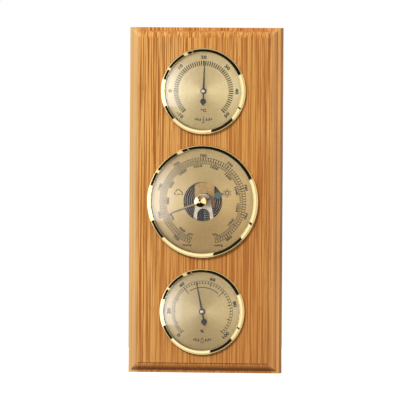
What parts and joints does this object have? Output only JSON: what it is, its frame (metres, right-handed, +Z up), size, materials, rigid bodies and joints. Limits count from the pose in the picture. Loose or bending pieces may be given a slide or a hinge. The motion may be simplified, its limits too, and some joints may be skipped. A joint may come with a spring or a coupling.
{
  "type": "weather station",
  "caption": "Wall weather station: moulded oak board with round brass-cased thermometer, open-centre aneroid barometer with set hand, and hygrometer.",
  "frame": {"origin": "centre of the keyhole's round entry in the hanger plate, on the wall plane", "axes": "+X to the right as seen by someone who reads the dials, +Z up, -Y out of the wall towards the reader"},
  "size_m": [0.115, 0.0348, 0.26],
  "materials": {
    "oak": "satin",
    "brass_polished": "polished",
    "brass_satin": "satin",
    "dial_gold": "satin",
    "glass": "polished",
    "case_black": "satin",
    "rubber": "matte",
    "steel": "satin",
    "blued_steel": "polished",
    "bimetal": "satin",
    "moisture_strip": "matte",
    "spring_brass": "satin",
    "capsule_metal": "satin",
    "bridge_silver": "satin"
  },
  "bodies": {
    "station": {"board": "oak", "hanger_plate": "brass_satin", "hanger_screws": "brass_satin", "thermo_case": "case_black", "thermo_grip_band": "rubber", "thermo_bezel": "brass_polished", "thermo_glass": "glass", "thermo_spacer": "brass_satin", "thermo_dial": "dial_gold", "thermo_bracket": "steel", "thermo_rivets": "steel", "thermo_coil": "bimetal", "hygro_case": "case_black", "hygro_grip_band": "rubber", "hygro_bezel": "brass_polished", "hygro_glass": "glass", "hygro_spacer": "brass_satin", "hygro_dial": "dial_gold", "hygro_bracket": "steel", "hygro_rivets": "steel", "hygro_coil": "moisture_strip", "baro_case": "case_black", "baro_grip_band": "rubber", "baro_bezel": "brass_polished", "baro_glass": "glass", "baro_spacer": "brass_satin", "baro_dial": "dial_gold", "baro_base_plate": "brass_satin", "baro_case_screws": "steel", "baro_spring": "spring_brass", "baro_spring_screws": "steel", "baro_capsule": "capsule_metal", "baro_rocker_bracket": "brass_satin", "baro_chain": "steel", "baro_pillars": "brass_satin", "baro_lower_plate": "brass_satin", "baro_plate_spacers": "brass_satin", "baro_bridge": "bridge_silver", "baro_bridge_screws": "steel", "baro_hairspring": "blued_steel", "baro_set_bush": "brass_polished"},
    "thermo_needle_body": {"thermo_arbor": "steel", "thermo_pointer": "blued_steel", "thermo_hub": "brass_polished"},
    "hygro_needle_body": {"hygro_arbor": "steel", "hygro_pointer": "blued_steel", "hygro_hub": "brass_polished"},
    "baro_needle_body": {"baro_arbor": "steel", "baro_pointer": "blued_steel"},
    "rocking_shaft_body": {"baro_rocker": "steel"},
    "lever_body": {"baro_lever": "steel"},
    "set_hand_body": {"baro_set_hand": "brass_polished", "baro_set_knob": "brass_polished"},
    "adjusting_screw_body": {"baro_adjusting_screw": "brass_satin"}
  },
  "joints": [
    {"name": "thermo_needle", "type": "hinge", "parent": "station", "child": "thermo_needle_body", "pos_m": [0, -0.018, -0.0358], "axis": [0, -1, 0], "range_deg": [-133.2, 136.8], "deforming": ["thermo_coil"]},
    {"name": "hygro_needle", "type": "hinge", "parent": "station", "child": "hygro_needle_body", "pos_m": [0, -0.018, -0.2018], "axis": [0, -1, 0], "range_deg": [-140, 127.9], "deforming": ["hygro_coil"]},
    {"name": "baro_needle", "type": "hinge", "parent": "station", "child": "baro_needle_body", "pos_m": [0, -0.018, -0.1188], "axis": [0, -1, 0], "range_deg": [-265, 45.5], "deforming": ["baro_hairspring"]},
    {"name": "rocking_shaft", "type": "hinge", "parent": "station", "child": "rocking_shaft_body", "pos_m": [0, -0.0094, -0.1388], "axis": [1, 0, 0], "range_deg": [-6, 33.5], "deforming": ["baro_chain"]},
    {"name": "lever", "type": "hinge", "parent": "station", "child": "lever_body", "pos_m": [0, -0.0075, -0.0983], "axis": [1, 0, 0], "range_deg": [-0.4, 2.1], "deforming": ["baro_spring", "baro_capsule"]},
    {"name": "set_hand_turn", "type": "hinge", "parent": "station", "child": "set_hand_body", "pos_m": [0, -0.018, -0.1188], "axis": [0, -1, 0], "continuous": true},
    {"name": "adjusting_screw_turn", "type": "hinge", "parent": "station", "child": "adjusting_screw_body", "pos_m": [0, -0.002, -0.1078], "axis": [0, 1, 0], "range_deg": [-720, 720]}
  ],
  "couplings": [
    {"joint": "rocking_shaft", "follows": "baro_needle", "ratio": -0.125},
    {"joint": "lever", "follows": "baro_needle", "ratio": -0.0076}
  ]
}
